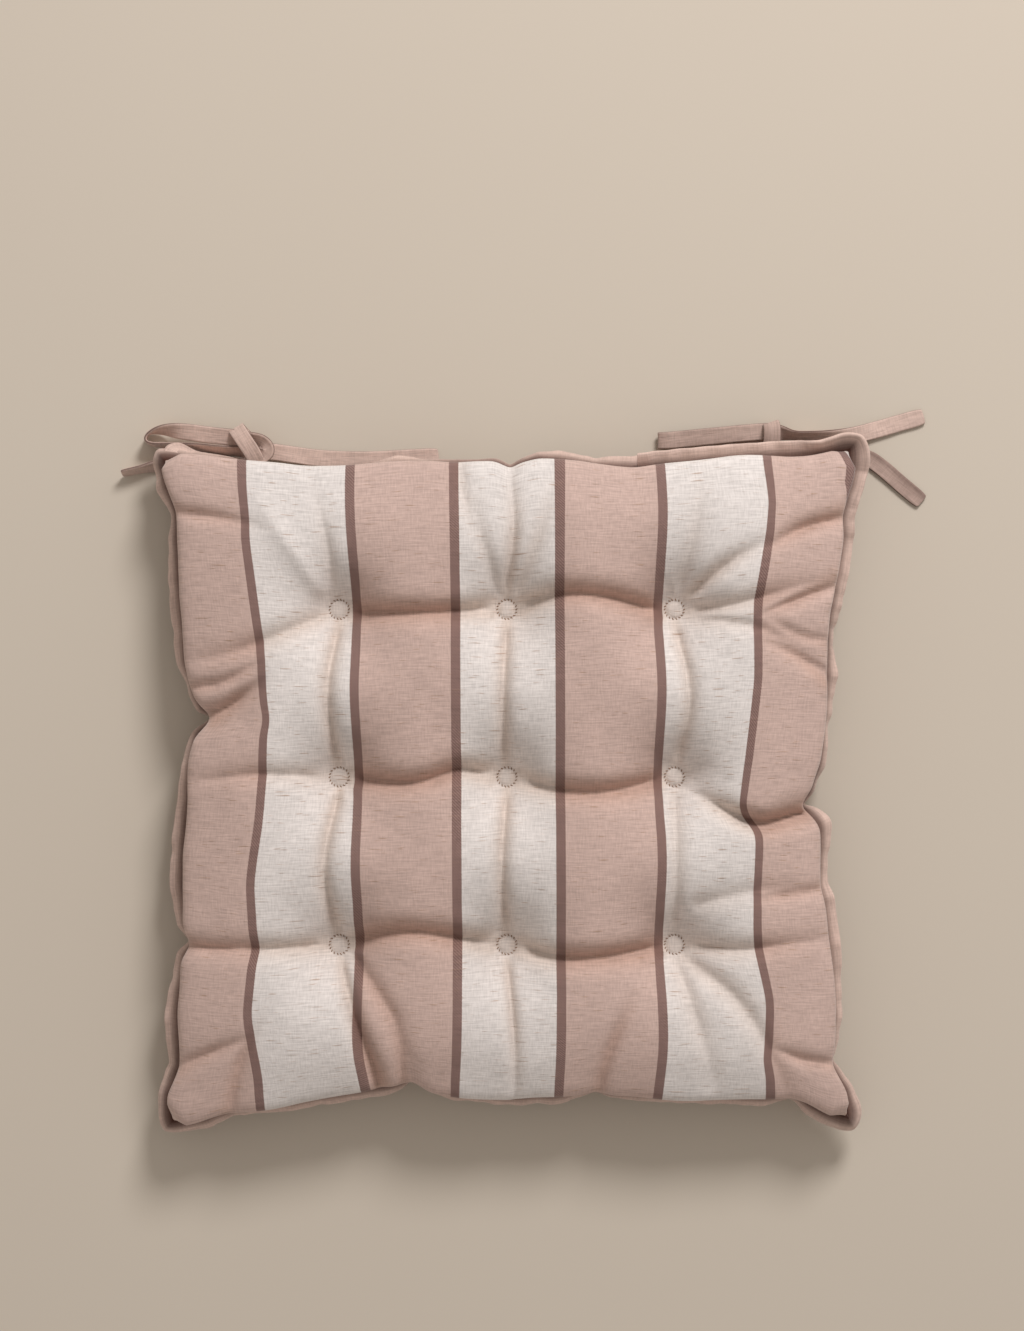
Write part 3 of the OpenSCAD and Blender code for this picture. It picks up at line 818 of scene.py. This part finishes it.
def simulated_cover():
    points, flat, over, under, held = build_cover()
    faces = np.concatenate([quads(over), quads(under)[:, ::-1]])
    result = blow_up(points, flat, faces, held)
    move = result - points
    size = np.linalg.norm(move, axis=1, keepdims=True)
    result = points + move * np.minimum(1, MOST_MOVE / np.maximum(size, 1e-9))
    return result, flat, over, under


def weave_place(flat):
    """The flat place used for the stripes: the cloth was cut a little askew at the back right corner."""
    place = flat.copy()
    back = np.clip((flat[:, 1] - 0.12) / 0.06, 0, 1) ** 1.5
    right = np.clip((flat[:, 0] - 0.15) / 0.04, 0, 1) ** 1.5
    place[:, 0] += 17 * MM * back * right
    for stops, side in ((CREEP_LEFT, -1), (CREEP_RIGHT, 1)):
        table = np.array(stops, float) * MM
        fine = np.linspace(-CUT, CUT, 201)
        shift = smooth_line(np.interp(fine, table[:, 0], table[:, 1])[:, None], 2)[:, 0]
        near = np.exp(-((flat[:, 0] - side * 150 * MM) / (32 * MM)) ** 2)
        place[:, 0] -= np.interp(flat[:, 1], fine, shift) * near
    return place


def soften_floor(points):
    """Presses what has sunk below the floor's surface flat against it."""
    z = points[:, 2]
    soft = 3 * MM
    floor = 0.4 * MM
    points[:, 2] = floor + soft * np.log1p(np.exp((z - floor) / soft))
    return points


def panel_object(name, points, flat, index, flip):
    used, inverse = np.unique(index.ravel(), return_inverse=True)
    faces = quads(inverse.reshape(index.shape))
    obj = make_mesh(name, points[used], faces[:, ::-1] if flip else faces)
    set_flat(obj, flat[used])
    return obj


# how far the painted shade reaches round the tufts and in from the seam
TUFT_SHADE_REACH = 11 * MM
SEAM_SHADE_REACH = 2.2 * MM


def paint_hollow_shade(obj, cut, top):
    """Stores how much painted shade each point gets, 0 to 1, by how deep in a hollow it lies (seam edge,
    folds, round the tufts), beside the place that the weave follows.
    """
    x, y, _ = points_of(obj).T
    values = weave_place(cut)
    edge = CUT - abs(cut[:, :2]).max(1)
    hollow = 0.9 * np.exp(-(edge / SEAM_SHADE_REACH) ** 2)
    if top:
        hollow = np.maximum(hollow, np.clip(fold_depth(x, y, 1.6, 1.1) / (10 * MM), 0, 0.65))
        hollow = np.maximum(hollow, 0.4 * np.exp(-np.maximum(0, from_tuft(x, y) - TUFT_R) / TUFT_SHADE_REACH))
    values[:, 2] = hollow
    obj.data.attributes["flat"].data.foreach_set("vector", np.asarray(values, np.float32).ravel())


def dress_tufts(obj, up):
    """Presses the ring of stitches into the cloth and domes the cloth inside it."""
    points = points_of(obj)
    for tuft in TUFTS:
        r = np.hypot(points[:, 0] - tuft.x, points[:, 1] - tuft.y)
        dome = 0.6 * MM * np.clip(1 - (r / (TUFT_R * 0.95)) ** 2, 0, 1)
        groove = 0.9 * MM * np.exp(-((r - TUFT_R) / (0.9 * MM)) ** 2)
        points[:, 2] += up * (dome - groove)
    set_points(obj, points)


def solidify(obj, thickness):
    modifier = obj.modifiers.new("thickness", "SOLIDIFY")
    modifier.thickness = thickness
    modifier.offset = -1
    apply_modifiers(obj)


COVER, CUT_PLACES, OVER, UNDER = simulated_cover()
low = COVER[:, 2] < SEAM_Z
COVER[low] = soften_floor(COVER[low])
CREASE = 0.85
BELLY = 8.0 * MM  # how far the cover bellies out over the seam
BELLY_AT = 6 * MM


def even_out(obj, values):
    """Averages a value at each point with its neighbours' along the mesh."""
    ends = np.zeros(len(obj.data.edges) * 2, np.int32)
    obj.data.edges.foreach_get("vertices", ends)
    first, second = ends.reshape(-1, 2).T
    total, count = np.zeros(len(values)), np.zeros(len(values))
    for here, there in ((first, second), (second, first)):
        np.add.at(total, here, values[there])
        np.add.at(count, here, 1)
    return 0.6 * values + 0.4 * total / np.maximum(count, 1)


def press_creases(obj):
    """Sets the folds more sharply into the top than the simulation leaves them."""
    points = points_of(obj)
    x, y, z = points.T
    rise = np.clip((z - TUFT_TOP) / (10 * MM), 0, 1)
    near = np.clip((from_tuft(x, y) - TUFT_R - 1 * MM) / (7 * MM), 0, 1)
    shape = CREASE * fold_depth(x, y, 1.3, 0.5) - fold_depth(x, y, 1.5, 1.0, RIDGES)
    points[:, 2] -= even_out(obj, shape * rise * near)
    set_points(obj, points)


def belly_out(obj, cut, share, lift):
    """Rolls the cloth next to the seam outwards, so that it overhangs the edging."""
    points = points_of(obj)
    for axis in (0, 1):
        edge = CUT - abs(cut[:, axis])
        other = CUT - abs(cut[:, 1 - axis])
        roll = edge / BELLY_AT * np.exp(1 - edge / BELLY_AT) * np.clip(other / (12 * MM), 0, 1)
        along = np.array([wander(p * 24, 21 + axis) for p in cut[:, 1 - axis] + np.sign(cut[:, axis])])
        roll *= 0.85 + 0.4 * along
        points[:, axis] += np.sign(cut[:, axis]) * BELLY * share * roll
        points[:, 2] += lift * roll
    set_points(obj, points)


def make_panels():
    top = panel_object("top_panel_cloth", COVER, CUT_PLACES, OVER, False)
    bottom = panel_object("bottom_panel_cloth", COVER, CUT_PLACES, UNDER, True)
    for panel, node, up in ((top, "top_panel", 1), (bottom, "bottom_panel", -1)):
        subdivide(panel)
        cut = flat_of(panel)
        if up > 0:
            press_creases(panel)
            belly_out(panel, cut, 1.0, 2.5 * MM)
        else:
            belly_out(panel, cut, 0.5, 0.0)
        dress_tufts(panel, up)
        paint_hollow_shade(panel, cut, up > 0)
        solidify(panel, 0.9 * MM)
        panel.data.materials.append(MATERIALS["striped"])
        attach(panel, "pad")
        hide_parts(node)
    return top, bottom


def make_filling():
    """The loose fibre: the inside of the cover, a little smaller all round."""
    index = [OVER[::2, ::2], UNDER[::2, ::2]]
    shrink = 6 * MM
    points, faces, start = [], [], 0
    for layer, sign in zip(index, (-1, 1)):
        inner = layer[2:-2, 2:-2]
        grid = COVER[inner.ravel()].copy()
        deep = shrink + (CREASE * fold_depth(grid[:, 0], grid[:, 1], 2.0, 0.9) if sign < 0 else 0)
        grid[:, 2] += sign * np.minimum(deep, abs(grid[:, 2] - SEAM_Z) * 0.6)
        part = np.arange(inner.size).reshape(inner.shape) + start
        cells = quads(part)
        faces += [tuple(f) for f in (cells if sign < 0 else cells[:, ::-1])]
        points.append(grid)
        start += inner.size
    shape = index[0][2:-2, 2:-2].shape
    over = np.arange(shape[0] * shape[1]).reshape(shape)
    ring = np.concatenate([over[:, 0], over[-1, 1:], over[-2::-1, -1], over[0, -2:0:-1]])
    below = ring + over.size
    faces += [(ring[i], below[i], below[(i + 1) % len(ring)], ring[(i + 1) % len(ring)])
              for i in range(len(ring))]
    filling = make_mesh("filling", np.concatenate(points), faces)
    filling.data.materials.append(MATERIALS["fibre"])
    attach(filling, "pad")
    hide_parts("fibre_filling")


make_filling()
TOP_OBJ, BOTTOM_OBJ = make_panels()

# ---- Edging strip ----

STRIP_W = 12 * MM
STRIP_IN = 3 * MM
STRIP_T = 2.2 * MM
SPLICE = 86 * MM
LEAST_W = 4 * MM
# how far the painted shade reaches out from the strip's root at the seam
STRIP_SHADE_REACH = 6.2 * MM
MOST_LEAN = 0.85
SHOW_MORE = 1.2 * MM  # the cover overhangs the seam by this much


def seam_loop():
    """The seam all round: rows of place and edging shown, and which side each row is on."""
    at = np.linspace(-CUT, CUT, 401)
    sides = [seam_side(BACK, at)[::-1], seam_side(LEFT, at)[::-1], seam_side(FRONT, at), seam_side(RIGHT, at)]
    rows = np.concatenate([side[:-1] for side in sides])
    tags = np.repeat(np.arange(4), 400)
    return rows, tags


def make_edging():
    rows, tags = seam_loop()
    count = len(rows)
    start = int(np.argmin(abs(rows[:, 0] - SPLICE) + 10 * (tags != 0)))
    corner = np.array([(sx * CORNER_X, sy * CORNER_Y) for sx in (-1, 1) for sy in (-1, 1)])
    order = (np.arange(count + 12) + start) % count
    place = rows[order, :2]
    closed = rows[:, :2]
    size = np.concatenate([[0], np.cumsum(np.linalg.norm(np.diff(place, axis=0), axis=1))])
    tangent = np.roll(closed, -6, 0) - np.roll(closed, 6, 0)
    loop = np.concatenate([tangent[-30:], tangent, tangent[:30]])
    tangent = unit(smooth_line(loop, 5.0)[30:-30])
    normal = np.stack([tangent[:, 1], -tangent[:, 0]], 1)[order]
    centre = rows[:, :2].mean(0)
    flip = np.sign(((place - centre) * normal).sum(1).mean())
    normal = normal * flip
    show = rows[order, 2]
    z = seam_wave(place[:, 0], place[:, 1])
    profile = [(-1.0, 0.5), (0.0, 0.5), (0.35, 0.62), (0.7, 0.62), (0.93, 0.66), (1.0, 0.3), (1.0, -0.3),
               (0.93, -0.66), (0.7, -0.62), (0.35, -0.62), (0.0, -0.5), (-1.0, -0.5)]
    points, flat = [], []
    for i in range(len(order)):
        x, y = place[i]
        ripple = wander(size[i] * 55, 5) * 0.35 + wander(size[i] * 130, 6) * 0.2
        shown = show[i] + SHOW_MORE
        lean = min(MOST_LEAN, math.acos(min(0.98, max(0.05, shown / STRIP_W))))
        width = min(STRIP_W, max(LEAST_W, shown / math.cos(lean)))
        up = -1.0
        if i > count // 2 and tags[order[i]] == 0:
            up = 1.0
        elif tags[order[i]] == 3:
            up = 2 * min(1.0, max(0.0, (y - 145 * MM) / (40 * MM))) - 1
        lean = lean * up + ripple * 0.6
        overlap = max(0.0, 1 - (len(order) - 1 - i) / 16)
        mitre = 1 + 0.15 * math.exp(-(np.linalg.norm(corner - (x, y), axis=1).min() / (7 * MM)) ** 2)
        out = np.array([normal[i][0], normal[i][1], 0.0])
        for a, b in profile:
            reach = a * (STRIP_IN if a < 0 else width * mitre)
            bend = lean * (0.7 + 0.3 * a) if a > 0 else 0.0
            direction = out * math.cos(bend) + np.array([0, 0, math.sin(bend)])
            across = np.array([0, 0, math.cos(bend)]) - out * math.sin(bend)
            point = np.array([x, y, z[i] + overlap * 3.2 * MM]) + direction * reach + across * b * STRIP_T
            point[2] = max(point[2], 0.8 * MM)
            points.append(point)
            # third number: painted shade at the strip's root, under the cover's overhang
            flat.append((size[i], a * STRIP_W, math.exp(-(max(0.0, a * width) / STRIP_SHADE_REACH) ** 3)))
    rings, width = len(order), len(profile)
    faces = [(i * width + k, (i + 1) * width + k, (i + 1) * width + k + 1, i * width + k + 1)
             for i in range(rings - 1) for k in range(width - 1)]
    strip = make_mesh("edging_strip", points, faces)
    set_flat(strip, flat)
    subdivide(strip)
    strip.data.materials.append(MATERIALS["edging"])
    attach(strip, "pad")
    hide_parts("edge_strip")


make_edging()

# ---- Threads ----


def tube(points, radius, sides=6):
    """Rings of a thin tube along points, and its faces."""
    points = np.asarray(points, float)
    along = unit(np.gradient(points, axis=0))
    side = unit(np.cross(along, np.array([0.31, 0.47, 0.83])))
    third = np.cross(along, side)
    rings = [points + (side * math.cos(t) + third * math.sin(t)) * radius
             for t in np.arange(sides) * 2 * math.pi / sides]
    verts = np.stack(rings, 1).reshape(-1, 3)
    last = (len(points) - 1) * sides
    faces = []
    for i in range(len(points) - 1):
        here, there = i * sides, (i + 1) * sides
        for k in range(sides):
            after = (k + 1) % sides
            faces.append((here + k, here + after, there + after, there + k))
    faces += [tuple(range(sides))[::-1], tuple(last + k for k in range(sides))]
    return verts, faces


def thread_object(name, lines, radius, node):
    verts, faces, start = [], [], 0
    for line in lines:
        v, f = tube(line, radius)
        verts.append(v)
        faces += [tuple(k + start for k in face) for face in f]
        start += len(v)
    obj = make_mesh(name, np.concatenate(verts), faces)
    obj.data.materials.append(MATERIALS["thread"])
    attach(obj, "pad")
    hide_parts(node)
    return obj


def surface_z(obj, x, y, up):
    hit = obj.ray_cast(Vector((x, y, 0.2 if up > 0 else -0.2)), Vector((0, 0, -up)))
    return hit[1].z if hit[0] else None


def make_tufts(stitches=18):
    for name, tuft in zip(TUFT_NAMES, TUFTS):
        lines = []
        for panel, up, level in ((TOP_OBJ, 1, TUFT_TOP), (BOTTOM_OBJ, -1, TUFT_BOTTOM)):
            for i in range(stitches):
                angle = 2 * math.pi * (i + 0.2 * wander(i * 1.7, tuft.x * 50)) / stitches
                line = []
                for r, lift in ((-0.5, -0.6), (-0.25, 0.15), (0.15, 0.25), (0.5, 0.1), (0.75, -0.6)):
                    radius = TUFT_R + r * MM
                    swirl = angle + r * 0.12
                    x, y = tuft.x + radius * math.cos(swirl), tuft.y + radius * math.sin(swirl)
                    z = surface_z(panel, x, y, up)
                    line.append((x, y, (level if z is None else z) + up * lift * MM))
                lines.append(line)
        thread_object(f"{name}_stitches", lines, 0.28 * MM, name)


def seam_stitches(pitch, inset, slant, rise, first=0.0, last=None):
    """Short stitches along the seam loop, from one place on the loop to another or to its end."""
    rows, _ = seam_loop()
    place = rows[:, :2]
    size = np.concatenate([[0], np.cumsum(np.linalg.norm(np.diff(place, axis=0), axis=1))])
    lines = []
    for s in np.arange(first, last or size[-1] - pitch, pitch):
        x = np.interp([s, s + pitch * 0.35, s + pitch * 0.7], size, place[:, 0])
        y = np.interp([s, s + pitch * 0.35, s + pitch * 0.7], size, place[:, 1])
        if min(abs(abs(x[1]) - CORNER_X) + abs(abs(y[1]) - CORNER_Y), 1) < 14 * MM:
            continue
        inward = -unit(np.stack([x, y], 1)) * inset
        z = seam_wave(x, y) + np.array([-slant, 0.0, slant]) + rise
        lines.append(np.stack([x + inward[:, 0], y + inward[:, 1], z], 1))
    return lines


make_tufts()
SEAM_LINES = seam_stitches(3 * MM, -0.8 * MM, 0.0, 1.6 * MM)
CLOSING_LINES = seam_stitches(4 * MM, -0.6 * MM, 1.4 * MM, -1.2 * MM, first=130 * MM, last=270 * MM)
thread_object("seam_stitches", SEAM_LINES, 0.25 * MM, "seam_thread")
thread_object("closing_stitches", CLOSING_LINES, 0.3 * MM, "closing_thread")

make_stage()
